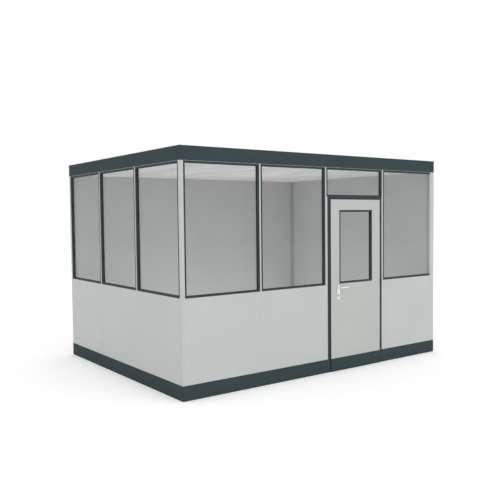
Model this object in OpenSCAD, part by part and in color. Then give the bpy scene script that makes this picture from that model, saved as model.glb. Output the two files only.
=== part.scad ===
// In-plant office: a flat-topped room of posts and panels with a band of windows and one door.
// X runs along the front wall, Y from the front wall into the room and Z up.
// The origin lies on the floor, at the middle of the object's box. All sizes are in millimetres.

/* [Plan] */
// Spacing of the posts along every wall
bay_w = 1000; // [990:5:1200]
// Thickness of the walls, and the side of the square corner posts
wall_t = 40; // [36:1:60]
// Visible width of a post between two bays
mullion_w = 20; // [16:1:30]
// Extra width of the post at the right end of the front wall
end_strip_w = 14; // [2:1:40]
// How far the skirting and the fascia stand proud of the wall faces
cover_t = 1.5; // [0.5:0.5:3]

/* [Heights] */
// Height of the skirting
skirting_h = 164; // [100:1:200]
// Underside of the window frames, and top of the panels below them
sill_h = 1080; // [900:5:1200]
// Height of the walls, and underside of the ceiling
wall_h = 2524; // [2480:1:2800]
// Height of the rail above the windows
head_rail_h = 13; // [12:1:60]
// Thickness of the ceiling panels
ceiling_t = 60; // [40:5:90]
// Height of the fascia
fascia_h = 153.5; // [130:0.5:250]
// How far the fascia hangs below the top of the walls
fascia_drop = 10.5; // [2:0.5:12]
// Width of the fascia's top
fascia_w = 40; // [20:1:60]

/* [Windows] */
// Face width of a window frame
frame_face = 21; // [16:1:30]
// Depth of the frames behind the wall faces
frame_recess = 1.5; // [1:0.5:5]
// Thickness of the panes
glass_t = 6; // [4:1:10]
// How far a pane reaches into its frame
glass_bite = 8; // [5:1:12]
// Depth of a wall's frame behind its pane
glass_lip = 4; // [4:1:8]

/* [Door] */
// Width of the door frame
door_frame_w = 961; // [900:1:968]
// How far the door frame stands off the middle of its bay, towards its hinges
door_offset = 4; // [0:0.5:5]
// Height of the door frame, and underside of the window above it
door_frame_h = 2159; // [2130:1:2250]
// Face of the door frame that shows beside the leaf
jamb_face = 47.5; // [40:0.5:60]
// Face of the door frame that shows above the leaf
head_face = 34.5; // [25:0.5:50]
// How far the leaf's lip laps over the door frame
leaf_lap = 15; // [10:1:20]
// Thickness of the leaf
leaf_t = 40; // [35:1:50]
// How far the leaf stands proud of the wall face
leaf_proud = 10; // [8:0.5:12]
// Clear gap around the moving leaf
running_gap = 5; // [5:0.5:6]
// Gap between the leaf and the floor
floor_gap = 7; // [5:1:12]
// Width of the window in the leaf
door_window_w = 580; // [300:5:620]
// Height of the window in the leaf
door_window_h = 910; // [400:10:960]
// Underside of the window in the leaf
door_window_sill = 1085; // [1085:1:1130]
// How far the wall's skirting runs on over the door frame
skirting_lap = 31; // [20:1:38]

/* [Hinges] */
// Diameter of the hinge barrels
hinge_d = 16; // [14:1:17]
// Length of one half of a hinge barrel
hinge_l = 40; // [30:1:60]
// Diameter of the hinge pins
pin_d = 9; // [7:0.5:10]
// Distance of the outer hinges from the ends of the leaf
hinge_inset = 240; // [220:5:400]
// Gap between a hinge barrel and the edge of the leaf
hinge_side_gap = 2; // [2:0.5:4]
// How far the hinge axis lies in front of the leaf
hinge_stand = 3; // [2.5:0.5:4]

/* [Handle] */
// Distance of the handle from the leaf's edge
handle_edge = 120; // [90:1:125]
// Height of the lever's axis
lever_h = 1037; // [980:1:1040]
// Width of the handle plates
plate_w = 42; // [36:1:46]
// Height of the handle plates
plate_h = 180; // [170:1:200]
// Height of the plates' top above the lever's axis
plate_top = 34; // [30:1:44]
// Thickness of the handle plates
plate_t = 8; // [6:0.5:10]
// Diameter of the lever's bar
lever_d = 18; // [14:1:20]
// Length of the lever from its axis
lever_l = 135; // [110:1:140]
// Distance of the lever's bar from the leaf
lever_reach = 50; // [40:1:60]
// Bend radius of the lever
lever_bend_r = 16; // [13:1:20]
// Side of the square spindle between the levers
spindle_w = 8; // [7:1:9]
// Distance of the lock cylinder below the lever's axis
lock_drop = 89; // [80:0.5:95]
// How far the lock cylinder stands out of the plates
lock_proud = 2; // [1:0.5:3]

/* [Hidden] */

// Finishes
GREY = "#c3c6c4";
ANTHRACITE = "#3d474b";
WHITE = "#e6e7e6";
CLEAR = [0.75, 0.8, 0.8, 0.35];
ALUMINIUM = "#dcdddc";
STEEL = "#9a9c9c";

// Bays: four along the front, the third of which holds the door, and three along each side
FRONT_BAYS = 4;
SIDE_BAYS = 3;
DOOR_BAY = 2;
FRONT_WINDOW_BAYS = [0, 1, 3];

// Small clearances
joint_gap = 0.5;
fit_gap = 0.2;
shaft_gap = 0.1;
cut = 1;
round_fn = 48;

// Plan
front_l = 2 * wall_t + FRONT_BAYS * bay_w - mullion_w + end_strip_w;
side_l = 2 * wall_t + SIDE_BAYS * bay_w - mullion_w;
opening_w = bay_w - mullion_w;
front_end = wall_t + FRONT_BAYS * bay_w - mullion_w;
side_end = wall_t + SIDE_BAYS * bay_w - mullion_w;
skirting_in = wall_t + cover_t;

// Heights
frame_top = wall_h - head_rail_h;
ceiling_top = wall_h + ceiling_t;
fascia_bottom = wall_h - fascia_drop;
fascia_top = fascia_bottom + fascia_h;

// Frames in the walls: they sit in the middle of the wall's thickness
frame_out = frame_recess;
frame_in = wall_t - frame_recess;
wall_pane = frame_in - glass_lip - glass_t / 2;

// Door, measured along the front wall and up
door_l = bay_u(DOOR_BAY) + (opening_w - door_frame_w) / 2 + door_offset;
door_r = door_l + door_frame_w;
leaf_l = door_l + jamb_face;
leaf_r = door_r - jamb_face;
leaf_top = door_frame_h - head_face;
reveal_l = leaf_l + leaf_lap;
reveal_r = leaf_r - leaf_lap;
reveal_top = leaf_top - leaf_lap;
core_l = reveal_l + running_gap;
core_r = reveal_r - running_gap;
core_top = reveal_top - running_gap;
leaf_out = -leaf_proud;
leaf_in = leaf_t - leaf_proud;
lip_in = frame_recess - running_gap;
leaf_mid = (leaf_out + leaf_in) / 2;
core_mid = (lip_in + leaf_in) / 2;
door_window_l = (leaf_l + leaf_r - door_window_w) / 2;
door_window_top = door_window_sill + door_window_h;
door_window_out = leaf_out + frame_recess;
door_window_in = leaf_in - frame_recess;

// Hinges: three barrels, each with its lower half on the frame and its upper half on the leaf
hinge_u = leaf_r + hinge_side_gap + hinge_d / 2;
hinge_w = leaf_out - hinge_stand;
hinge_low = floor_gap + hinge_inset;
hinge_high = leaf_top - hinge_inset;
HINGE_Z = [hinge_low, (hinge_low + hinge_high) / 2, hinge_high];
strap_t = 2;
strap_l = 28;
strap_riser_w = 10;
strap_offset = 3;
strap_bite = 3;
pin_end_gap = 6;

// Handle and lock
handle_u = leaf_l + handle_edge;
plate_bottom_z = lever_h + plate_top - plate_h;
lock_z = lever_h - lock_drop;
neck_d = 16;
spindle_hole_d = 22;
lock_d = 17;
lock_tail_w = 10;
lock_tail_drop = 19.5;
keyway_w = 2.4;
keyway_h = 9;
keyway_depth = 14;
faceplate_w = 20;
faceplate_t = 3;
faceplate_up = 70;
faceplate_down = 165;
strike_t = 1.5;
strike_up = 40;
strike_down = 120;
strike_hole_w = 12;
latch_hole_h = 24;
bolt_hole_h = 34;

// The object's box reaches from the outer lever's bar to the rear skirting
front_reach = leaf_proud + lever_reach + lever_d / 2;
origin_x = front_l / 2;
origin_y = (side_l + cover_t - front_reach) / 2;

// Start of a bay, measured along its wall
function bay_u(i) = wall_t + i * bay_w;

// Places plan coordinates, which start at the outer face of the front left corner
module placed() translate([-origin_x, -origin_y, 0]) children();

// Wall coordinates are u along the wall, w from its outer face inwards, and z up
module on_front() placed() children();
module on_left() placed() mirror([1, -1, 0]) children();
module on_rear() placed() translate([0, side_l, 0]) mirror([0, 1, 0]) children();
module on_right() placed() translate([front_l, 0, 0]) mirror([1, 0, 0]) mirror([1, -1, 0]) children();

// A block between two opposite corners
module block(low, high) translate(low) cube(high - low);

// A cylinder whose axis runs inwards, across the wall
module bar_w(d, low, high)
    translate([0, low, 0]) rotate([-90, 0, 0]) cylinder(d = d, h = high - low, $fn = round_fn);

// A bar along a whole wall, from depth w0 to w1, mitred at both ends
module mitred_bar(l, w0, w1, z0, z1)
    translate([0, 0, z0]) linear_extrude(z1 - z0) polygon([
        [w0 + joint_gap, w0], [l - w0 - joint_gap, w0], [l - w1 - joint_gap, w1], [w1 + joint_gap, w1]
    ]);

// A square-edged ring with a groove for its pane, whose middle lies at depth mid
module framed_opening(u0, u1, z0, z1, w0, w1, mid) difference() {
    block([u0, w0, z0], [u1, w1, z1]);
    block([u0 + frame_face, w0 - cut, z0 + frame_face], [u1 - frame_face, w1 + cut, z1 - frame_face]);
    pane(u0, u1, z0, z1, mid);
}

// The pane of a framed opening
module pane(u0, u1, z0, z1, mid) {
    edge = frame_face - glass_bite;
    block([u0 + edge, mid - glass_t / 2, z0 + edge], [u1 - edge, mid + glass_t / 2, z1 - edge]);
}

// One bay's window, above the panels
module bay_window(i)
    framed_opening(bay_u(i), bay_u(i) + opening_w, sill_h, frame_top, frame_out, frame_in, wall_pane);
module bay_pane(i) pane(bay_u(i), bay_u(i) + opening_w, sill_h, frame_top, wall_pane);

// One bay's panel, on the skirting
module bay_panel(i, top) block([bay_u(i), 0, skirting_h], [bay_u(i) + opening_w, wall_t, top]);

// The post after a bay
module bay_mullion(i, top) {
    u = bay_u(i) + opening_w;
    block([u, 0, skirting_h], [u + mullion_w, wall_t, top]);
}

// Skirting: a channel as tall as the kick plate of the door, under every wall
module skirting(l) mitred_bar(l, -cover_t, skirting_in, 0, skirting_h);

module front_skirting_left() color(ANTHRACITE) on_front() {
    intersection() {
        skirting(front_l);
        block([-wall_t, -wall_t, 0], [door_l, 2 * wall_t, skirting_h]);
    }
    block([door_l, -cover_t, 0], [door_l + skirting_lap, frame_out, skirting_h]);
}

module front_skirting_right() color(ANTHRACITE) on_front() {
    intersection() {
        skirting(front_l);
        block([door_r, -wall_t, 0], [front_l + wall_t, 2 * wall_t, skirting_h]);
    }
    block([door_r - skirting_lap, -cover_t, 0], [door_r, frame_out, skirting_h]);
}

module left_skirting() color(ANTHRACITE) on_left() skirting(side_l);
module rear_skirting() color(ANTHRACITE) on_rear() skirting(front_l);
module right_skirting() color(ANTHRACITE) on_right() skirting(side_l);

// Corner posts, from the skirting to the ceiling
module corner_post(u0, u1) block([u0, 0, skirting_h], [u1, wall_t, wall_h]);

module front_left_post() color(GREY) on_front() corner_post(0, wall_t);
module front_right_post() color(GREY) on_front() corner_post(front_end, front_l);
module rear_left_post() color(GREY) on_rear() corner_post(0, wall_t);
module rear_right_post() color(GREY) on_rear() corner_post(front_l - wall_t, front_l);

// Post in the room's rear right corner, which carries the ceiling and stands clear of the skirting
module ceiling_post() color(GREY) placed() difference() {
    right = front_l - wall_t;
    rear = side_l - wall_t;
    block([right - wall_t, rear - wall_t, 0], [right, rear, wall_h]);
    block([right - cover_t, 0, -cut], [right + cut, side_l, skirting_h]);
    block([0, rear - cover_t, -cut], [right, rear + cut, skirting_h]);
}

// Posts between the bays
module front_mullion() color(GREY) on_front() bay_mullion(0, frame_top);

module door_post_left() color(GREY) on_front() {
    bay_mullion(DOOR_BAY - 1, frame_top);
    block([bay_u(DOOR_BAY), 0, skirting_h], [door_l, wall_t, door_frame_h]);
}

module door_post_right() color(GREY) on_front() {
    bay_mullion(DOOR_BAY, frame_top);
    block([door_r, 0, skirting_h], [bay_u(DOOR_BAY) + opening_w, wall_t, door_frame_h]);
}

module left_mullions() color(GREY) on_left() for (i = [0 : SIDE_BAYS - 2]) bay_mullion(i, frame_top);
module rear_mullions() color(GREY) on_rear() for (i = [0 : FRONT_BAYS - 2]) bay_mullion(i, wall_h);
module right_mullions() color(GREY) on_right() for (i = [0 : SIDE_BAYS - 2]) bay_mullion(i, wall_h);

// Rails over the windows
module front_head_rail() color(GREY) on_front() block([wall_t, 0, frame_top], [front_end, wall_t, wall_h]);
module left_head_rail() color(GREY) on_left() block([wall_t, 0, frame_top], [side_end, wall_t, wall_h]);

// Panels: up to the windows in the front and left walls, up to the ceiling in the others
module front_panels() color(GREY) on_front() for (i = FRONT_WINDOW_BAYS) bay_panel(i, sill_h);
module left_panels() color(GREY) on_left() for (i = [0 : SIDE_BAYS - 1]) bay_panel(i, sill_h);
module right_panels() color(GREY) on_right() for (i = [0 : SIDE_BAYS - 1]) bay_panel(i, wall_h);

// The rear wall's last panel is wider by the front wall's end strip
module rear_panels() color(GREY) on_rear() {
    for (i = [0 : FRONT_BAYS - 2]) bay_panel(i, wall_h);
    block([bay_u(FRONT_BAYS - 1), 0, skirting_h], [front_end + end_strip_w, wall_t, wall_h]);
}

// Windows
module front_window_frames() color(ANTHRACITE) on_front() difference() {
    for (i = FRONT_WINDOW_BAYS) bay_window(i);
    end_jamb_space();
}

module left_window_frames() color(ANTHRACITE) on_left() for (i = [0 : SIDE_BAYS - 1]) bay_window(i);

// The last front window's right jamb, in the colour of the end post beside it
module end_jamb_space()
    block([front_end - frame_face, -cut, sill_h - cut], [front_end + cut, wall_t + cut, wall_h]);

module front_end_jamb() color(GREY) on_front() intersection() {
    bay_window(FRONT_BAYS - 1);
    end_jamb_space();
}

module transom_frame() color(ANTHRACITE) on_front() {
    u = bay_u(DOOR_BAY);
    framed_opening(u, u + opening_w, door_frame_h, frame_top, frame_out, frame_in, wall_pane);
}

module front_glass() color(CLEAR) on_front() {
    u = bay_u(DOOR_BAY);
    for (i = FRONT_WINDOW_BAYS) bay_pane(i);
    pane(u, u + opening_w, door_frame_h, frame_top, wall_pane);
}

module left_glass() color(CLEAR) on_left() for (i = [0 : SIDE_BAYS - 1]) bay_pane(i);

// Ceiling: one panel for each front bay, from the front wall to the rear wall
module ceiling_panels() color(WHITE) placed() for (i = [0 : FRONT_BAYS - 1]) {
    x0 = i == 0 ? joint_gap : bay_u(i) - mullion_w / 2;
    x1 = i == FRONT_BAYS - 1 ? front_l - joint_gap : bay_u(i + 1) - mullion_w / 2 - joint_gap;
    block([x0, joint_gap, wall_h], [x1, side_l - joint_gap, ceiling_top]);
}

// Fascia: an upstand on the ceiling's edge, with a leg that hangs down over the wall
module fascia(l) {
    mitred_bar(l, -cover_t, 0, fascia_bottom, fascia_top);
    mitred_bar(l, -cover_t, fascia_w - cover_t, ceiling_top, fascia_top);
}

module front_fascia() color(ANTHRACITE) on_front() fascia(front_l);
module left_fascia() color(ANTHRACITE) on_left() fascia(side_l);
module rear_fascia() color(ANTHRACITE) on_rear() fascia(front_l);
module right_fascia() color(ANTHRACITE) on_right() fascia(side_l);

// Door frame: two jambs and a head, with a seat for the strike plate
module door_frame() color(ANTHRACITE) on_front() difference() {
    block([door_l, frame_out, 0], [door_r, frame_in, door_frame_h]);
    block([reveal_l, frame_out - cut, -cut], [reveal_r, frame_in + cut, reveal_top]);
    strike_blank();
}

module strike_blank() {
    w0 = core_mid - faceplate_w / 2;
    block(
        [reveal_l - strike_t, w0, lever_h - strike_down],
        [reveal_l, w0 + faceplate_w, lever_h + strike_up]
    );
}

module strike_plate() color(STEEL) on_front() difference() {
    strike_blank();
    translate([reveal_l, core_mid, 0]) {
        strike_hole(lever_h, latch_hole_h);
        strike_hole(lock_z, bolt_hole_h);
    }
}

module strike_hole(z, h) translate([0, 0, z]) cube([3 * strike_t, strike_hole_w, h], center = true);

// Hinges. A half is a barrel with a strap, which passes through the gap between lip and frame
module hinge_half(z0, strap_u0, strap_u1, strap_w0, strap_w1, riser_u0) {
    riser_w0 = hinge_w + hinge_d / 2 - strap_bite;
    translate([hinge_u, hinge_w, z0]) cylinder(d = hinge_d, h = hinge_l, $fn = round_fn);
    block([riser_u0, riser_w0, z0], [riser_u0 + strap_riser_w, strap_w1, z0 + hinge_l]);
    block([strap_u0, strap_w0, z0], [strap_u1, strap_w1, z0 + hinge_l]);
}

module hinge_frame_halves() color(ANTHRACITE) on_front() for (z = HINGE_Z) {
    u0 = hinge_u - strap_offset;
    hinge_half(z - hinge_l, u0, u0 + strap_l, frame_out - strap_t, frame_out, u0);
    translate([hinge_u, hinge_w, z - cut])
        cylinder(d = pin_d, h = hinge_l - pin_end_gap + cut, $fn = round_fn);
}

module hinge_leaf_halves() color(ANTHRACITE) on_front() for (z = HINGE_Z) difference() {
    u1 = hinge_u + strap_offset;
    hinge_half(z + joint_gap, core_r, u1, lip_in, lip_in + strap_t, u1 - strap_riser_w);
    translate([hinge_u, hinge_w, z + joint_gap - cut])
        cylinder(d = pin_d + 2 * shaft_gap, h = hinge_l - cut, $fn = round_fn);
}

// Leaf: a core that enters the frame, with a lip in front that laps over it
module door_leaf() color(GREY) on_front() difference() {
    union() {
        block([leaf_l, leaf_out, floor_gap], [leaf_r, lip_in, leaf_top]);
        block([core_l, leaf_out, floor_gap], [core_r, leaf_in, core_top]);
    }
    block(
        [door_window_l, leaf_out - cut, door_window_sill],
        [door_window_l + door_window_w, leaf_in + cut, door_window_top]
    );
    translate([handle_u, 0, lever_h]) bar_w(spindle_hole_d, leaf_out - cut, leaf_in + cut);
    lock_profile(fit_gap, leaf_out - cut, leaf_in + cut);
    faceplate_blank();
}

module door_window_frame() color(ANTHRACITE) on_front() framed_opening(
    door_window_l, door_window_l + door_window_w, door_window_sill, door_window_top,
    door_window_out, door_window_in, leaf_mid
);

module door_glass() color(CLEAR) on_front() pane(
    door_window_l, door_window_l + door_window_w, door_window_sill, door_window_top, leaf_mid
);

// Kick plates, level with the skirting, on both faces of the leaf
module kick_plates() color(ANTHRACITE) on_front() {
    block([leaf_l, leaf_out - cover_t, floor_gap], [leaf_r, leaf_out, skirting_h]);
    block([core_l, leaf_in, floor_gap], [core_r, leaf_in + cover_t, skirting_h]);
}

// Lock: face plate in the leaf's edge, and a cylinder through leaf and plates
module faceplate_blank() {
    w0 = core_mid - faceplate_w / 2;
    block(
        [core_l, w0, lever_h - faceplate_down],
        [core_l + faceplate_t, w0 + faceplate_w, lever_h + faceplate_up]
    );
}

module lock_faceplate() color(STEEL) on_front() faceplate_blank();

module lock_profile(grow, low, high) translate([handle_u, 0, lock_z]) {
    half = lock_tail_w / 2 + grow;
    bar_w(lock_d + 2 * grow, low, high);
    translate([0, 0, -lock_tail_drop]) bar_w(2 * half, low, high);
    block([-half, low, -lock_tail_drop], [half, high, 0]);
}

module lock_cylinder() color(STEEL) on_front() difference() {
    out = leaf_out - plate_t - lock_proud;
    in = leaf_in + plate_t + lock_proud;
    lock_profile(0, out, in);
    for (w = [out, in])
        translate([handle_u, w, lock_z]) cube([keyway_w, 2 * keyway_depth, keyway_h], center = true);
}

// Handle plates on both faces of the leaf
module handle_plates() color(ALUMINIUM) on_front() difference() {
    for (span = [[leaf_out - plate_t, leaf_out], [leaf_in, leaf_in + plate_t]]) {
        top = lever_h + plate_top - plate_w / 2;
        bottom = plate_bottom_z + plate_w / 2;
        for (z = [bottom, top]) translate([handle_u, 0, z]) bar_w(plate_w, span[0], span[1]);
        block([handle_u - plate_w / 2, span[0], bottom], [handle_u + plate_w / 2, span[1], top]);
    }
    translate([handle_u, 0, lever_h])
        bar_w(neck_d + 2 * shaft_gap, leaf_out - plate_t - cut, leaf_in + plate_t + cut);
    lock_profile(fit_gap, leaf_out - plate_t - cut, leaf_in + plate_t + cut);
}

// Lever: a neck out of the plate, a quarter bend and a bar with a round end
module lever() {
    bar_w(neck_d, -plate_t - joint_gap, 0);
    bar_w(lever_d, lever_bend_r - lever_reach, -plate_t - joint_gap);
    translate([lever_bend_r, lever_bend_r - lever_reach, 0]) rotate([0, 0, 180])
        rotate_extrude(angle = 90, $fn = round_fn)
            translate([lever_bend_r, 0]) circle(d = lever_d, $fn = round_fn);
    translate([lever_bend_r, -lever_reach, 0]) rotate([0, 90, 0])
        cylinder(d = lever_d, h = lever_l - lever_bend_r - lever_d / 2, $fn = round_fn);
    translate([lever_l - lever_d / 2, -lever_reach, 0]) sphere(d = lever_d, $fn = round_fn);
}

module lever_handle() color(ALUMINIUM) on_front() translate([handle_u, 0, lever_h]) {
    translate([0, leaf_out, 0]) lever();
    translate([0, leaf_in, 0]) mirror([0, 1, 0]) lever();
    block([-spindle_w / 2, leaf_out - cut, -spindle_w / 2], [spindle_w / 2, leaf_in + cut, spindle_w / 2]);
}

front_skirting_left();
front_skirting_right();
left_skirting();
rear_skirting();
right_skirting();
front_left_post();
front_right_post();
rear_left_post();
rear_right_post();
ceiling_post();
front_mullion();
door_post_left();
door_post_right();
left_mullions();
rear_mullions();
right_mullions();
front_head_rail();
left_head_rail();
front_panels();
left_panels();
rear_panels();
right_panels();
front_window_frames();
front_end_jamb();
transom_frame();
left_window_frames();
front_glass();
left_glass();
ceiling_panels();
front_fascia();
left_fascia();
rear_fascia();
right_fascia();
door_frame();
strike_plate();
hinge_frame_halves();
hinge_leaf_halves();
door_leaf();
door_window_frame();
door_glass();
kick_plates();
lock_faceplate();
handle_plates();
lock_cylinder();
lever_handle();
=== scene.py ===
# %% [markdown]
# An in-plant office stands inside a larger hall and gives its people a quiet room with a view of the work. It
# is a kit: steel-faced panels between slim posts, glazed frames, a door, and a dark skirting and fascia that
# hide the joints at the floor and the roof.

# %% Load the frame
import math

import bmesh
import bpy
from mathutils import Matrix, Vector


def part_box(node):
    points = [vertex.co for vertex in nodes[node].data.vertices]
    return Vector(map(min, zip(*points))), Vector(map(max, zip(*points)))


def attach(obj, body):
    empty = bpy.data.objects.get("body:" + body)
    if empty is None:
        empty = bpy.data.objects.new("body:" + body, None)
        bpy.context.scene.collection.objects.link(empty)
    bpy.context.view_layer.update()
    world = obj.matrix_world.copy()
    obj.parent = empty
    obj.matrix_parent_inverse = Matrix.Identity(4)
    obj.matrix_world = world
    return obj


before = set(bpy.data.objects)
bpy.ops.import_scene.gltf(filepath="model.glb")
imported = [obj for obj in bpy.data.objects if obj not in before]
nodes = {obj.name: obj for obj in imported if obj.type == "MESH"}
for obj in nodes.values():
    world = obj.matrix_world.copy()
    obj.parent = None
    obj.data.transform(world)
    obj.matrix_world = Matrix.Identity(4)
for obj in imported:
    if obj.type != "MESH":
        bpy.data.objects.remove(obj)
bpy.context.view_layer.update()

# %% [markdown]
# The camera stands off the office's left corner, a little above a person's eye height, and looks at both walls that
# have windows. It is tilted a fraction of a degree, as a hand-held view is, so it is built from the direction it
# looks in and from its own up direction. It comes first because everything after it is judged through it.

# %% Camera
EYE = Vector((-5.4207, -7.3001, 1.9224))
LOOK = Vector((0.59151, 0.80469, -0.05098))
UP = Vector((0.03862, 0.03488, 0.99864))
LENS_MM = 46.76
SENSOR_MM = 36.0

scene = bpy.context.scene
camera_data = bpy.data.cameras.new("camera")
camera_data.lens = LENS_MM
camera_data.sensor_width = SENSOR_MM
camera = bpy.data.objects.new("camera", camera_data)
scene.collection.objects.link(camera)
scene.camera = camera
right = LOOK.cross(UP).normalized()
upright = right.cross(LOOK).normalized()
turn = Matrix((right, upright, -LOOK.normalized())).transposed().to_4x4()
camera.matrix_world = Matrix.Translation(EYE) @ turn
print("camera", [round(x, 2) for x in camera.location], "lens", LENS_MM, "mm")

# %% [markdown]
# Paint colours are written the way a paint chart or a screen shows them, as sRGB hex values. A shader works with
# light itself, so one function turns each value into linear light. A second small function adds a node to a
# material with its settings and its links, which keeps each finish below short enough to read as a recipe.

# %% Colour and node helpers
MM = 0.001


def linear(hex_colour):
    """A hex colour in linear light."""
    parts = [int(hex_colour[i : i + 2], 16) / 255 for i in (1, 3, 5)]
    light = [c / 12.92 if c <= 0.04045 else ((c + 0.055) / 1.055) ** 2.4 for c in parts]
    return (*light, 1.0)


def add(tree, kind, settings=None, links=None):
    """Adds a node, with its own settings and the sockets that feed its inputs."""
    made = tree.nodes.new(kind)
    for name, value in (settings or {}).items():
        if isinstance(name, str) and hasattr(made, name):
            setattr(made, name, value)
        else:
            made.inputs[name].default_value = value
    for name, socket in (links or {}).items():
        tree.links.new(socket, made.inputs[name])
    return made


def new_finish(name):
    """A material with an empty node tree, and the tree."""
    finish = bpy.data.materials.new(name)
    finish.use_nodes = True
    finish.node_tree.nodes.clear()
    return finish, finish.node_tree


print("white in linear light:", linear("#ffffff")[:3])

# %% [markdown]
# Powder coat is dry paint that is blown onto steel or aluminium and baked until it flows together. It never gets
# quite flat: its skin keeps a soft ripple, called orange peel, about a millimetre and a half across. The eye gets
# a satin sheen whose edges are blurred. Sheets also differ a little in tone over half a metre, and the dust of a
# hall dulls them unevenly. All of this is noise in metres, so it stays true to scale on every piece. The ripple is
# too fine to show from across a hall, so the tone and gloss vary at a coarser scale as well.
#
# A noise texture seldom leaves the range from 0.3 to 0.7, so that range is spread over the gloss. The tone adds a
# share of the dust's noise to the sheet's own, so its middle lies higher and it strays about a third either way.

# %% Powder-coated finishes
PEEL = 1.5 * MM
PEEL_DEPTH = 0.05 * MM
SHEET_WAVE = 320 * MM
SHEET_TONE = 550 * MM
DUST_PATCH = 60 * MM
DUST_SHARE = 0.35
NOISE_LOW, NOISE_HIGH = 0.3, 0.7
EVEN_TONE = 0.5 * (1 + DUST_SHARE)
TONE_REACH = 0.325
CLEAN_GLOSS, DUSTY_GLOSS = 0.04, 0.06


def powder_coat(
    name, colour, roughness, tone=0.035, wave=0.0, sheen=0.35, patch=SHEET_TONE, rolled=1.0, calm_top=0.0
):
    """A coat whose patches of tone are as long as rolled times their width, and weaker on top by calm_top."""
    finish, tree = new_finish(name)
    place = add(tree, "ShaderNodeTexCoord").outputs["Object"]
    drawn = add(tree, "ShaderNodeMapping", {"Scale": (1, 1 / rolled, 1)}, {"Vector": place}).outputs[0]
    broad = add(tree, "ShaderNodeTexNoise", {"Scale": 1 / patch, "Detail": 3.0}, {"Vector": drawn})
    dust = add(
        tree, "ShaderNodeTexNoise", {"Scale": 1 / DUST_PATCH, "Detail": 6.0, "Roughness": 0.65}, {"Vector": place}
    )
    blotch = add(
        tree,
        "ShaderNodeMath",
        {"operation": "MULTIPLY_ADD", 1: DUST_SHARE},
        {0: dust.outputs["Fac"], 2: broad.outputs["Fac"]},
    )
    if calm_top:
        faces = add(tree, "ShaderNodeNewGeometry").outputs["True Normal"]
        up = add(tree, "ShaderNodeSeparateXYZ", {}, {"Vector": faces}).outputs["Z"]
        calm = add(tree, "ShaderNodeMath", {"operation": "MULTIPLY", "use_clamp": True, 1: calm_top}, {0: up})
        blotch = add(tree, "ShaderNodeMix", {3: EVEN_TONE}, {0: calm.outputs[0], 2: blotch.outputs[0]})
    shade = add(
        tree,
        "ShaderNodeMapRange",
        {
            "From Min": EVEN_TONE - TONE_REACH,
            "From Max": EVEN_TONE + TONE_REACH,
            "To Min": 1 - tone,
            "To Max": 1 + tone,
        },
        {"Value": blotch.outputs[0]},
    )
    paint = add(tree, "ShaderNodeHueSaturation", {"Color": linear(colour)}, {"Value": shade.outputs[0]})
    gloss = add(
        tree,
        "ShaderNodeMapRange",
        {
            "From Min": NOISE_LOW,
            "From Max": NOISE_HIGH,
            "To Min": roughness - CLEAN_GLOSS,
            "To Max": roughness + DUSTY_GLOSS,
        },
        {"Value": dust.outputs["Fac"]},
    )
    peel = add(tree, "ShaderNodeTexNoise", {"Scale": 1 / PEEL, "Detail": 1.0}, {"Vector": place})
    ripple = add(
        tree, "ShaderNodeBump", {"Strength": 0.25, "Distance": PEEL_DEPTH}, {"Height": peel.outputs["Fac"]}
    )
    skin = ripple
    if wave:
        slow = add(tree, "ShaderNodeTexNoise", {"Scale": 1 / SHEET_WAVE, "Detail": 0.0}, {"Vector": place})
        skin = add(
            tree,
            "ShaderNodeBump",
            {"Strength": 1.0, "Distance": wave},
            {"Height": slow.outputs["Fac"], "Normal": ripple.outputs[0]},
        )
    shader = add(
        tree,
        "ShaderNodeBsdfPrincipled",
        {"IOR": 1.5, "Specular IOR Level": sheen},
        {"Base Color": paint.outputs[0], "Roughness": gloss.outputs[0], "Normal": skin.outputs[0]},
    )
    add(tree, "ShaderNodeOutputMaterial", {}, {"Surface": shader.outputs[0]})
    return finish


panel_coat = powder_coat("powder_coated_steel_sheet_grey", "#c0c3c2", 0.46, wave=0.35 * MM)
post_coat = powder_coat("powder_coated_profile_grey", "#c0c1c1", 0.42, tone=0.02)
leaf_coat = powder_coat("powder_coated_door_skin_grey", "#b9bcb9", 0.44, wave=0.2 * MM)
# The post in the room's far corner gets a darker grey than the other profiles, so it reads as a dark band there.
corner_coat = powder_coat("powder_coated_corner_profile_mid_grey", "#a3a5a2", 0.46, tone=0.02)
band_coat = powder_coat(
    "powder_coated_steel_band_anthracite", "#3c484b", 0.6, tone=0.05, wave=0.25 * MM, sheen=0.03
)
frame_coat = powder_coat("powder_coated_window_profile_anthracite", "#394346", 0.52, tone=0.04, sheen=0.08)
print("powder coats made:", [m.name for m in bpy.data.materials if m.name.startswith("powder")])

# %% [markdown]
# The ceiling panels are steel-faced too, but their sheet is painted before it is cut: rollers coat a whole coil
# with a matt white polyester. Rollers leave faint bands along the coil, a hand's width across and several long,
# which plain daylight from the side brings out. Seen flat along the ceiling they close up into soft streaks, so
# the coat above is used again with a smaller patch, drawn out along each panel's length, and more tone. The upper
# side lies open to soft light from everywhere, which hides the bands, so faces that point up keep a quarter of it.

# %% Coil-coated ceiling sheet
ROLLER_BAND = 200 * MM
ceiling_coat = powder_coat(
    "coil_coated_steel_ceiling_white",
    "#e9e8e7",
    0.6,
    tone=0.19,
    sheen=0.1,
    patch=ROLLER_BAND,
    rolled=5.0,
    calm_top=0.75,
)
print("ceiling coat: bands", ROLLER_BAND, "m across")

# %% [markdown]
# Float glass is cast on molten tin, so it is almost perfectly flat and clear. What the eye sees of it is a weak
# mirror image, a trace of grey in its depth and the haze that hands and dust leave. A slab that both bends light
# and lets part of it straight through goes wrong at its back face, where rays that were never bent turn round as
# if inside the glass. So this glass doesn't bend light: alpha lets most of it straight through, daylight for the
# room too. Alpha weakens the mirror image as well, so the IOR is raised until a pane mirrors about one part in
# twenty, as a real one does face on.

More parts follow.
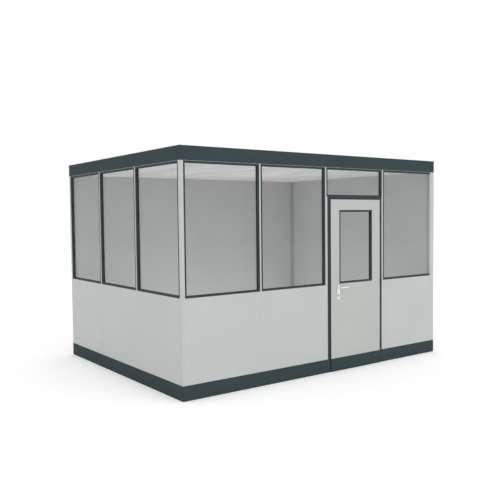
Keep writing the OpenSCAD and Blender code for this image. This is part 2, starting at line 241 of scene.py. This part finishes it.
# %% Float glass
GLASS_BODY = 0.12
GLASS_IOR = 2.5
SMEAR = 180 * MM
HAZE = 0.05
pane_glass, tree = new_finish("clear_float_glass")
place = add(tree, "ShaderNodeTexCoord").outputs["Object"]
smears = add(tree, "ShaderNodeTexNoise", {"Scale": 1 / SMEAR, "Detail": 5.0}, {"Vector": place})
haze = add(
    tree,
    "ShaderNodeMapRange",
    {"From Min": NOISE_LOW, "From Max": NOISE_HIGH, "To Min": 0.0, "To Max": HAZE},
    {"Value": smears.outputs["Fac"]},
)
dust = add(
    tree,
    "ShaderNodeMix",
    {"data_type": "RGBA", 6: linear("#343837"), 7: linear("#4a4e4c")},
    {0: smears.outputs["Fac"]},
)
shader = add(
    tree,
    "ShaderNodeBsdfPrincipled",
    {"IOR": GLASS_IOR, "Alpha": GLASS_BODY},
    {"Base Color": dust.outputs[2], "Roughness": haze.outputs[0]},
)
add(tree, "ShaderNodeOutputMaterial", {}, {"Surface": shader.outputs[0]})
face_on = ((GLASS_IOR - 1) / (GLASS_IOR + 1)) ** 2
print("a pane passes", round((1 - GLASS_BODY) ** 2, 2), "and mirrors", round(2 * GLASS_BODY * face_on, 3))

# %% [markdown]
# The lever and its plates are aluminium with a silver anodised skin: brushed first, then grown a hard, slightly
# milky oxide layer. It looks pale and even, with a soft highlight along the bar. The lock parts are bare steel with
# the lines of a belt grinder along their length. The lock cylinder is brass with satin nickel plating, and its dark
# colour is painted shade that stands for the shade in its keyhole, so it reads as a dark spot on the pale plate. All
# of them use one recipe: noise that is drawn out along one axis until it turns to fine lines, which cut the surface a
# little and vary its gloss. Real brush lines are a tenth of a millimetre wide or less, and are drawn coarser here, so
# that a close view shows them.

# %% Metals
BRUSH_LINE = 0.3 * MM
LINE_STRETCH = 60
LINE_DEPTH = 0.02 * MM
LINE_SMOOTH, LINE_ROUGH = 0.05, 0.08


def brushed_metal(name, colour, roughness, along):
    """Bare or anodised metal whose brush lines run along the axis with the number along."""
    finish, tree = new_finish(name)
    place = add(tree, "ShaderNodeTexCoord").outputs["Object"]
    scale = [1 / BRUSH_LINE] * 3
    scale[along] = 1 / (LINE_STRETCH * BRUSH_LINE)
    lines = add(tree, "ShaderNodeMapping", {"Scale": scale}, {"Vector": place})
    brush = add(tree, "ShaderNodeTexNoise", {"Scale": 1.0, "Detail": 2.0}, {"Vector": lines.outputs[0]})
    gloss = add(
        tree,
        "ShaderNodeMapRange",
        {
            "From Min": NOISE_LOW,
            "From Max": NOISE_HIGH,
            "To Min": roughness - LINE_SMOOTH,
            "To Max": roughness + LINE_ROUGH,
        },
        {"Value": brush.outputs["Fac"]},
    )
    cut = add(tree, "ShaderNodeBump", {"Strength": 0.3, "Distance": LINE_DEPTH}, {"Height": brush.outputs["Fac"]})
    shader = add(
        tree,
        "ShaderNodeBsdfPrincipled",
        {"Base Color": linear(colour), "Metallic": 1.0},
        {"Roughness": gloss.outputs[0], "Normal": cut.outputs[0]},
    )
    add(tree, "ShaderNodeOutputMaterial", {}, {"Surface": shader.outputs[0]})
    return finish


ALONG_X, ALONG_Z = 0, 2
lever_metal = brushed_metal("anodised_aluminium_silver", "#e8e9e8", 0.38, ALONG_X)
plate_metal = brushed_metal("anodised_aluminium_plate", "#e7e8e7", 0.4, ALONG_Z)
lock_metal = brushed_metal("ground_stainless_steel", "#b4b5b4", 0.3, ALONG_Z)
# the cylinder's dark colour is painted shade for its keyhole
cylinder_metal_painted_shade = brushed_metal("satin_nickel_painted_keyhole_shade", "#6d6c69", 0.38, ALONG_Z)
print("metals made, with brush lines", BRUSH_LINE, "m wide")

# %% [markdown]
# Seals are EPDM rubber, squeezed through a die and cured, which leaves a dull skin with a fine grain. Black is the
# usual colour, and grey is sold for light profiles. Rubber reflects little and never sharply, so its roughness is
# high and varies with the grain, which is drawn coarser than the real one for the same reason.

# %% Rubber
RUBBER_GRAIN = 0.8 * MM
GRAIN_DEPTH = 0.05 * MM


def rubber(name, colour):
    """Cured rubber in a colour, grained all over."""
    finish, tree = new_finish(name)
    place = add(tree, "ShaderNodeTexCoord").outputs["Object"]
    grain = add(tree, "ShaderNodeTexNoise", {"Scale": 1 / RUBBER_GRAIN, "Detail": 2.0}, {"Vector": place})
    skin = add(tree, "ShaderNodeBump", {"Strength": 0.3, "Distance": GRAIN_DEPTH}, {"Height": grain.outputs["Fac"]})
    bloom = add(
        tree,
        "ShaderNodeMapRange",
        {"From Min": NOISE_LOW, "From Max": NOISE_HIGH, "To Min": 0.6, "To Max": 0.8},
        {"Value": grain.outputs["Fac"]},
    )
    shader = add(
        tree,
        "ShaderNodeBsdfPrincipled",
        {"Base Color": linear(colour), "IOR": 1.5, "Specular IOR Level": 0.3},
        {"Roughness": bloom.outputs[0], "Normal": skin.outputs[0]},
    )
    add(tree, "ShaderNodeOutputMaterial", {}, {"Surface": shader.outputs[0]})
    return finish


seal_rubber = rubber("epdm_rubber_black", "#26292a")
grey_rubber = rubber("epdm_rubber_light_grey", "#a5a8a6")
print("rubber made, with a grain of", RUBBER_GRAIN, "m")

# %% [markdown]
# Each CAD node now gets its finish. Folded sheet and extruded profiles have no knife edges: a fold in sheet steel
# has about a millimetre of radius, and coating softens it further. A weld and a bevel modifier round the edges and
# leave the CAD mesh itself untouched, which keeps every size exact. The bevel doesn't slide its new corners along
# the triangles of a flat face, because that would crease the door skin round the handle's holes.

# %% Dress the CAD nodes
FOLD_RADIUS = 0.9 * MM
PROFILE_RADIUS = 0.6 * MM
SHARP_FOLD = math.radians(40)
SAME_POINT = 0.01 * MM

FINISHES = [
    (panel_coat, FOLD_RADIUS, ("front_panels", "left_panels", "rear_panels", "right_panels")),
    (
        post_coat,
        PROFILE_RADIUS,
        (
            "front_left_post", "front_right_post", "rear_left_post", "rear_right_post",
            "front_mullion", "door_post_left", "door_post_right", "left_mullions", "rear_mullions",
            "right_mullions", "front_head_rail", "left_head_rail", "front_end_jamb",
        ),
    ),
    (corner_coat, PROFILE_RADIUS, ("ceiling_post",)),
    (leaf_coat, FOLD_RADIUS, ("door_leaf",)),
    (
        band_coat,
        FOLD_RADIUS,
        (
            "front_skirting_left", "front_skirting_right", "left_skirting", "rear_skirting", "right_skirting",
            "front_fascia", "left_fascia", "rear_fascia", "right_fascia", "kick_plates",
        ),
    ),
    (
        frame_coat,
        PROFILE_RADIUS,
        (
            "front_window_frames", "transom_frame", "left_window_frames", "door_frame", "door_window_frame",
            "hinge_frame_halves", "hinge_leaf_halves",
        ),
    ),
    (ceiling_coat, FOLD_RADIUS, ("ceiling_panels",)),
    (pane_glass, 0.0, ("front_glass", "left_glass", "door_glass")),
    (lever_metal, 0.0, ("lever_handle",)),
    (plate_metal, PROFILE_RADIUS, ("handle_plates",)),
    (cylinder_metal_painted_shade, 0.0, ("lock_cylinder",)),
    (lock_metal, 0.0, ("strike_plate", "lock_faceplate")),
]


def soften(piece, radius):
    """Rounds every edge that is folded more sharply than SHARP_FOLD."""
    weld = piece.modifiers.new("weld", "WELD")
    weld.merge_threshold = SAME_POINT
    bevel = piece.modifiers.new("soft_edges", "BEVEL")
    bevel.width = radius
    bevel.segments = 2
    bevel.loop_slide = False
    bevel.limit_method = "ANGLE"
    bevel.angle_limit = SHARP_FOLD


for finish, radius, names in FINISHES:
    for name in names:
        piece = nodes[name]
        piece.data.materials.clear()
        piece.data.materials.append(finish)
        if radius:
            soften(piece, radius)
print("dressed", sum(len(names) for _, _, names in FINISHES), "of", len(nodes), "nodes")

# %% [markdown]
# The seals and fittings that follow take their places from the CAD solids, so that they stay with them if a size
# changes. All are made in one way: an outline is set at each corner or end, and each outline is joined to the next
# by faces. That gives light, closed meshes, and leaves every corner where it was put. One CAD node can hold several
# solids, such as the panes of a wall, so the first helper finds their separate boxes.

# %% Measuring and mesh helpers
def solids_of(name):
    """The boxes of a node's separate solids, in order."""
    shape = bmesh.new()
    shape.from_mesh(nodes[name].data)
    bmesh.ops.remove_doubles(shape, verts=shape.verts, dist=SAME_POINT)
    unseen, boxes = set(shape.verts), []
    while unseen:
        queue, corners = [unseen.pop()], []
        while queue:
            corner = queue.pop()
            corners.append(tuple(corner.co))
            near = {edge.other_vert(corner) for edge in corner.link_edges} & unseen
            unseen -= near
            queue.extend(near)
        boxes.append((Vector(map(min, zip(*corners))), Vector(map(max, zip(*corners)))))
    shape.free()
    return sorted(boxes, key=lambda box: tuple(round(x, 4) for x in (*box[0], *box[1])))


def make_piece(name, shape, finish, body):
    """Turns a finished shape into a piece that rides on a body."""
    bmesh.ops.recalc_face_normals(shape, faces=shape.faces)
    mesh = bpy.data.meshes.new(name)
    shape.to_mesh(mesh)
    shape.free()
    mesh.materials.append(finish)
    piece = bpy.data.objects.new(name, mesh)
    scene.collection.objects.link(piece)
    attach(piece, body)
    return piece


def bridge(shape, loops, closed=False, other_side=None):
    """Joins loops of corners, each to the next, and caps the ends unless the last meets the first."""
    rows = [[shape.verts.new(corner) for corner in loop] for loop in loops]
    for i in range(len(rows) if closed else len(rows) - 1):
        low, high = rows[i], rows[(i + 1) % len(rows)]
        for j in range(len(low)):
            k = (j + 1) % len(low)
            face = shape.faces.new((low[j], low[k], high[k], high[j]))
            face.material_index = 1 if j == other_side else 0
    if not closed:
        shape.faces.new(rows[0])
        shape.faces.new(rows[-1])


print("solids in front_glass:", len(solids_of("front_glass")))

# %% [markdown]
# A pane never touches its frame: a strip of EPDM rubber on each side of it cushions it and keeps draughts out. The
# strip is pressed in last, so it shows as a narrow line that slopes away from the glass. One small profile is
# carried round the four corners of each opening, which gives a closed ring with mitred corners. The rubber is
# black against the dark frames and grey against the one grey jamb, at the right end of the front wall. The profile
# is in millimetres, inwards from the frame's edge and out from the pane.

# %% Window gaskets
PANE_IN_GROOVE = 8 * MM
GASKET_PROFILE = [(0.0, 0.0), (2.6, 0.0), (2.6, 0.9), (1.9, 2.5), (0.0, 3.2)]
RIGHT_LEG = 1
AT_JAMB = 1 * MM


def gasket_ring(shape, low, high, side, grey_leg=None):
    """A gasket on one side of a pane: -1 is the lower side of its thickness, 1 the upper."""
    across = min((0, 1), key=lambda axis: high[axis] - low[axis])
    along = 1 - across
    loops = []
    for inwards, outwards in GASKET_PROFILE:
        inset = PANE_IN_GROOVE + inwards * MM
        loop = []
        for right_end, top_end in ((0, 0), (1, 0), (1, 1), (0, 1)):
            corner = [0.0, 0.0, high.z - inset if top_end else low.z + inset]
            corner[along] = high[along] - inset if right_end else low[along] + inset
            corner[across] = (high if side > 0 else low)[across] + side * outwards * MM
            loop.append(corner)
        loops.append(loop)
    bridge(shape, loops, closed=True, other_side=grey_leg)


jamb_low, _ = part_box("front_end_jamb")
for wall, glass, body in (
    ("front_window", "front_glass", "office"),
    ("left_window", "left_glass", "office"),
    ("door_window", "door_glass", "door"),
):
    shape = bmesh.new()
    panes = solids_of(glass)
    grey_legs = 0
    for low, high in panes:
        at_grey_jamb = wall == "front_window" and abs(high.x - PANE_IN_GROOVE - jamb_low[0]) < AT_JAMB
        grey_legs += at_grey_jamb
        for side in (-1, 1):
            gasket_ring(shape, low, high, side, RIGHT_LEG if at_grey_jamb else None)
    gaskets = make_piece(wall + "_gaskets", shape, seal_rubber, body)
    if grey_legs:
        gaskets.data.materials.append(grey_rubber)
    print(wall, "gaskets on", len(panes), "panes, grey beside", grey_legs)

# %% [markdown]
# The leaf's lip laps over the frame with a five-millimetre gap, and a rubber seal on the frame fills that gap when
# the door is shut. It is a low half-round bead. It runs up the lock side, across the head and down the hinge side,
# where it stops at each hinge to let the straps through. It stands just clear of the lip, as a seal does before
# the last push. Its profile is in millimetres, across the bead and out from the frame's face.

# %% Door seal
BEAD_PROFILE = [(0.0, 0.0), (0.0, 1.4), (1.2, 3.3), (3.5, 4.2), (5.8, 3.3), (7.0, 1.4), (7.0, 0.0)]
BEAD_WIDTH = 7 * MM
BEAD_INSET = 3.5 * MM
HINGE_CLEAR = 2 * MM
BEAD_JOINT = 0.1 * MM
leaf_low, leaf_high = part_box("door_leaf")
frame_low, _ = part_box("door_frame")
face_y = frame_low[1]


def bead(shape, start, end, spread):
    """A straight run of bead on the frame's face, whose width goes from its line towards spread."""
    bridge(
        shape,
        [
            [
                (x + spread[0] * across * MM, face_y - out * MM, z + spread[1] * across * MM)
                for across, out in BEAD_PROFILE
            ]
            for x, z in (start, end)
        ],
    )


left_x = leaf_low[0] + BEAD_INSET
right_x = leaf_high[0] - BEAD_INSET
head_z = leaf_high[2] - BEAD_INSET
under_head = head_z - BEAD_WIDTH - BEAD_JOINT
shape = bmesh.new()
bead(shape, (left_x, leaf_low[2]), (left_x, under_head), (1, 0))
bead(shape, (left_x, head_z), (right_x, head_z), (0, -1))
hinges = solids_of("hinge_frame_halves") + solids_of("hinge_leaf_halves")
stops = sorted((low.z - HINGE_CLEAR, high.z + HINGE_CLEAR) for low, high in hinges)
start_z = leaf_low[2]
for low_z, high_z in stops:
    if low_z > start_z:
        bead(shape, (right_x, start_z), (right_x, low_z), (-1, 0))
    start_z = max(start_z, high_z)
bead(shape, (right_x, start_z), (right_x, under_head), (-1, 0))
make_piece("door_seal", shape, seal_rubber, "office")
print("door seal from", round(left_x, 4), "to", round(right_x, 4), "m, hinges", len(hinges) // 2)

# %% [markdown]
# The leaf is two steel skins round a core. A black rubber strip closes the edge of its lip, between the skins, and
# softens a slam. Its black is also painted shade: it stands for the shade in the gap round the leaf and in the slit
# between the skirting and the kick plate, and makes them look like one dark line. Its profile is a low crown, carried
# up one side of the leaf, across the top and down the other. It is drawn in shares: of how far the strip stands out,
# and of the lip's thickness.

# %% Leaf edge strip
STRIP_PROUD = 1.2 * MM
STRIP_PROFILE = [(0.0, 0.05), (0.7, 0.08), (1.0, 0.2), (1.0, 0.8), (0.7, 0.92), (0.0, 0.95)]
LIP_TO_FRAME = 5 * MM
shape = bmesh.new()
lip_front = leaf_low[1]
lip_thick = face_y - LIP_TO_FRAME - lip_front
corners = [
    (leaf_low[0], leaf_low[2], -1, 0),
    (leaf_low[0], leaf_high[2], -1, 1),
    (leaf_high[0], leaf_high[2], 1, 1),
    (leaf_high[0], leaf_low[2], 1, 0),
]
bridge(
    shape,
    [
        [
            (x + out_x * out * STRIP_PROUD, lip_front + back * lip_thick, z + out_z * out * STRIP_PROUD)
            for out, back in STRIP_PROFILE
        ]
        for x, z, out_x, out_z in corners
    ],
)
# the strip's black is partly painted shade for the gap round the leaf
make_piece("leaf_edge_strip_painted_shade", shape, seal_rubber, "door")
print("leaf edge strip", STRIP_PROUD, "m proud of the lip")

# %% [markdown]
# A gap under the leaf lets the door pass over an uneven floor. A sweep closes it against draught and dust: a rubber
# lip that hangs from the leaf's underside, just behind the kick plate, thick at its root and thin where it nearly
# drags. Its black is also painted shade: it stands for the shadow under the leaf. Its section is drawn once and
# pulled along the leaf: millimetres back from the lip's front, and shares of the height of the leaf's underside.

# %% Door sweep
SWEEP_END = 2 * MM
SWEEP_SECTION = [(0.3, 1.05), (0.3, 0.5), (-0.5, 0.22), (0.5, 0.22), (2.0, 0.5), (4.3, 0.85), (4.3, 1.05)]
shape = bmesh.new()
bridge(
    shape,
    [
        [(x, lip_front + back * MM, share * leaf_low[2]) for back, share in SWEEP_SECTION]
        for x in (leaf_low[0] + SWEEP_END, leaf_high[0] - SWEEP_END)
    ],
)
# the sweep's black is partly painted shade for the shadow under the leaf
make_piece("door_sweep_painted_shade", shape, seal_rubber, "door")
print("door sweep ends", round(min(share for _, share in SWEEP_SECTION) * leaf_low[2], 4), "m above the floor")

# %% [markdown]
# The skirting is a folded steel channel, cut off just short of the door leaf. A black rubber cap closes each cut
# end, so that nobody scrapes a shoe on it. The caps' black is also painted shade for the slit beside the kick plate,
# where cap and slit show as one black line.

# %% Skirting end caps
CAP_THICK = 5.5 * MM
CAP_ROUND = 1.5 * MM
ROUND_MIDDLE = 0.3 * CAP_ROUND
CAP_BEHIND_FACE = 0.2 * MM
CAP_BELOW_TOP = 0.3 * MM
shape = bmesh.new()
for name, end, out in (("front_skirting_left", 1, 1), ("front_skirting_right", 0, -1)):
    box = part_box(name)
    cut_x, front, top = box[end][0], box[0][1] + CAP_BEHIND_FACE, box[1][2] - CAP_BELOW_TOP
    outline = [
        (cut_x, front),
        (cut_x + out * (CAP_THICK - CAP_ROUND), front),
        (cut_x + out * (CAP_THICK - ROUND_MIDDLE), front + ROUND_MIDDLE),
        (cut_x + out * CAP_THICK, front + CAP_ROUND),
        (cut_x + out * CAP_THICK, face_y),
        (cut_x, face_y),
    ]
    bridge(shape, [[(x, y, z) for x, y in outline] for z in (box[0][2], top)])
    print("end cap at", round(cut_x, 4), "m, leaf at", round((leaf_low if out > 0 else leaf_high)[0], 4), "m")
# the caps' black is partly painted shade for the slit beside the kick plate
make_piece("skirting_end_caps_painted_shade", shape, seal_rubber, "office")

# %% [markdown]
# The inner handle plate is held by two screws that reach through the leaf to the outer plate, so that nobody can
# undo them from outside. Smaller screws hold the lock's face plate and the strike plate. All have low domed heads
# with a hexagonal socket. A head is a stack of rings: round outside, six-sided inside, with the same number of
# corners in each, so that they join without a cut. Its dome and socket are shares of its radius and height.

# %% Screws
HEAD_CORNERS = 24
HALF_FLAT = math.pi / 6
DOME = [(1.0, 0.0), (1.0, 0.3), (0.93, 0.62), (0.75, 0.88), (0.52, 1.0)]
SOCKET = [(0.42, 0.98), (0.40, 0.2)]


def screw_head(shape, centre, outwards, radius, height):
    """A domed head on a surface, with its socket, standing out along an axis."""
    out = Vector(outwards)
    side = out.orthogonal().normalized()
    up = out.cross(side)

    def ring_at(reach, rise, six_sided=False):
        loop = []
        for i in range(HEAD_CORNERS):
            angle = math.tau * i / HEAD_CORNERS
            from_flat = angle % (2 * HALF_FLAT) - HALF_FLAT
            far = reach * math.cos(HALF_FLAT) / math.cos(from_flat) if six_sided else reach
            loop.append(Vector(centre) + out * rise + side * far * math.cos(angle) + up * far * math.sin(angle))
        return loop

    rings = [ring_at(reach * radius, rise * height) for reach, rise in DOME]
    rings += [ring_at(reach * radius, rise * height, six_sided=True) for reach, rise in SOCKET]
    bridge(shape, rings)


plate_low, plate_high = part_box("handle_plates")
lever_low, lever_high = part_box("lever_handle")
face_low, face_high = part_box("lock_faceplate")
strike_low, strike_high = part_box("strike_plate")
plate_x = (plate_low[0] + plate_high[0]) / 2
face_y_mid = (face_low[1] + face_high[1]) / 2
strike_y_mid = (strike_low[1] + strike_high[1]) / 2
PLATE_SCREW = {"from_end": 13 * MM, "radius": 4.5 * MM, "height": 2.2 * MM}
LOCK_SCREW = {"from_end": 9 * MM, "radius": 3.8 * MM, "height": 0.8 * MM}

for name, body, screw, outwards, place, ends in (
    (
        "handle_plate_screws", "door", PLATE_SCREW, (0, 1, 0),
        (plate_x, plate_high[1]), (plate_low[2], plate_high[2]),
    ),
    (
        "faceplate_screws", "door", LOCK_SCREW, (-1, 0, 0),
        (face_low[0], face_y_mid), (face_low[2], face_high[2]),
    ),
    (
        "strike_plate_screws", "office", LOCK_SCREW, (1, 0, 0),
        (strike_high[0], strike_y_mid), (strike_low[2], strike_high[2]),
    ),
):
    shape = bmesh.new()
    lowest, highest = ends[0] + screw["from_end"], ends[1] - screw["from_end"]
    for z in (lowest, highest):
        screw_head(shape, (*place, z), outwards, screw["radius"], screw["height"])
    make_piece(name, shape, lock_metal, body)
    print(name, "at", round(lowest, 4), "and", round(highest, 4), "m")

# %% [markdown]
# The latch and the dead bolt look out of the lock's face plate. The latch has a sloped nose that slides over the
# strike plate, and the bolt is a plain steel block with broken edges. Both are shown drawn back, almost flush, so
# that the leaf swings freely. The latch is level with the lever, and the bolt with the round plug of the cylinder.

# %% Latch and bolt
LATCH_TALL, BOLT_TALL = 20 * MM, 30 * MM
BOLT_THICK = 10 * MM
BOLT_SHOWS = 1.6 * MM
LATCH_TIP = 0.3 * BOLT_SHOWS
BOLT_EDGE = 0.6 * MM
lever_z = (lever_low[2] + lever_high[2]) / 2
lock_low, lock_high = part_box("lock_cylinder")
bolt_z = lock_high[2] - (lock_high[0] - lock_low[0]) / 2
plate_face, nose = face_low[0], face_low[0] - BOLT_SHOWS
outer_side, inner_side = face_y_mid - BOLT_THICK / 2, face_y_mid + BOLT_THICK / 2
latch_outline = [
    (plate_face, outer_side),
    (plate_face - LATCH_TIP, outer_side),
    (nose, face_y_mid + BOLT_THICK / 4),
    (nose, inner_side),
    (plate_face, inner_side),
]
bolt_outline = [
    (plate_face, outer_side),
    (nose + BOLT_EDGE, outer_side),
    (nose, outer_side + BOLT_EDGE),
    (nose, inner_side - BOLT_EDGE),
    (nose + BOLT_EDGE, inner_side),
    (plate_face, inner_side),
]
for name, outline, middle_z, tall in (
    ("lock_latch", latch_outline, lever_z, LATCH_TALL),
    ("lock_bolt", bolt_outline, bolt_z, BOLT_TALL),
):
    shape = bmesh.new()
    bridge(shape, [[(x, y, middle_z + end * tall / 2) for x, y in outline] for end in (-1, 1)])
    make_piece(name, shape, lock_metal, "door")
    print(name, "at", round(middle_z, 4), "m")

# %% [markdown]
# The hall's floor is a pale, even plane, so wide that its edge is lost. It lies a hair below the skirting, because
# two faces in one plane would flicker. Where it is seen, straight on or in a mirror image, it glows a little, which
# lifts it towards the white of the backdrop. The light that falls on the office leaves that glow out, and the floor
# keeps the office's shadow.

# %% Floor
FLOOR_SIDE = 60.0
FLOOR_LIFT = 0.16
FLOOR_BELOW = 0.5 * MM


def shown_directly(tree):
    """One where a ray shows the surroundings straight on, in a mirror image or through glass, and else zero."""
    rays = add(tree, "ShaderNodeLightPath")
    seen = rays.outputs["Is Camera Ray"]
    for kind in ("Is Glossy Ray", "Is Transmission Ray"):
        seen = add(tree, "ShaderNodeMath", {"operation": "MAXIMUM"}, {0: seen, 1: rays.outputs[kind]}).outputs[0]
    return seen


floor_mesh = bpy.data.meshes.new("hall_floor")
half = FLOOR_SIDE / 2
floor_mesh.from_pydata(
    [(-half, -half, 0), (half, -half, 0), (half, half, 0), (-half, half, 0)], [], [(0, 1, 2, 3)]
)
floor = bpy.data.objects.new("hall_floor", floor_mesh)
scene.collection.objects.link(floor)
floor_finish, tree = new_finish("pale_sealed_floor")
paint = add(tree, "ShaderNodeBsdfDiffuse", {"Color": linear("#fbfbfb")})
lift = add(tree, "ShaderNodeMath", {"operation": "MULTIPLY", 1: FLOOR_LIFT}, {0: shown_directly(tree)})
glow = add(tree, "ShaderNodeEmission", {"Color": (1, 1, 1, 1)}, {"Strength": lift.outputs[0]})
shader = add(tree, "ShaderNodeAddShader", {}, {0: paint.outputs[0], 1: glow.outputs[0]})
add(tree, "ShaderNodeOutputMaterial", {}, {"Surface": shader.outputs[0]})
floor_mesh.materials.append(floor_finish)
floor.location.z = -FLOOR_BELOW
print("floor", FLOOR_SIDE, "m wide")

# %% [markdown]
# A hall with rooflights is lit softly from all round, so the surroundings give most of the light, while a ray that
# shows them sees plain white. One wide lamp from the front right gives the walls slightly different tones, so that
# the corner reads as a corner. A room with windows on two sides gets much of its light from its own floor, so a
# wide, weak lamp lies on it and shines up. It is kept out of every view and mirror image, as it stands for a glow.
# The Standard view then shows each colour about as it is written.

# %% Light
AMBIENT = 0.91
LAMP_ENERGY = 0.45
LAMP_WIDTH = math.radians(60)
LAMP_SHINES = Vector((-0.25, 1.0, -0.75))
ROOM_LIGHT_W = 36.0
ROOM_LIGHT_SIZE = (3.6, 2.6)
ROOM_LIGHT_PLACE = (0.0, 0.03, 0.05)
world = bpy.data.worlds.new("hall_light")
scene.world = world
world.use_nodes = True
tree = world.node_tree
tree.nodes.clear()
ambient = add(tree, "ShaderNodeBackground", {"Color": (1, 1, 1, 1), "Strength": AMBIENT})
backdrop = add(tree, "ShaderNodeBackground", {"Color": (1, 1, 1, 1), "Strength": 1.0})
sky = add(
    tree, "ShaderNodeMixShader", {}, {0: shown_directly(tree), 1: ambient.outputs[0], 2: backdrop.outputs[0]}
)
add(tree, "ShaderNodeOutputWorld", {}, {"Surface": sky.outputs[0]})

lamp_data = bpy.data.lights.new("front_lamp", "SUN")
lamp_data.energy = LAMP_ENERGY
lamp_data.angle = LAMP_WIDTH
lamp = bpy.data.objects.new("front_lamp", lamp_data)
lamp.rotation_euler = LAMP_SHINES.to_track_quat("-Z", "Y").to_euler()
scene.collection.objects.link(lamp)

bounce_data = bpy.data.lights.new("room_floor_bounce", "AREA")
bounce_data.shape = "RECTANGLE"
bounce_data.size, bounce_data.size_y = ROOM_LIGHT_SIZE
bounce_data.energy = ROOM_LIGHT_W
bounce = bpy.data.objects.new("room_floor_bounce", bounce_data)
bounce.location = ROOM_LIGHT_PLACE
bounce.rotation_euler = (math.pi, 0, 0)
bounce.visible_camera = False
bounce.visible_glossy = False
bounce.visible_transmission = False
scene.collection.objects.link(bounce)
scene.view_settings.view_transform = "Standard"
print("light: ambient", AMBIENT, "lamp", LAMP_ENERGY, "room", ROOM_LIGHT_W, "W")
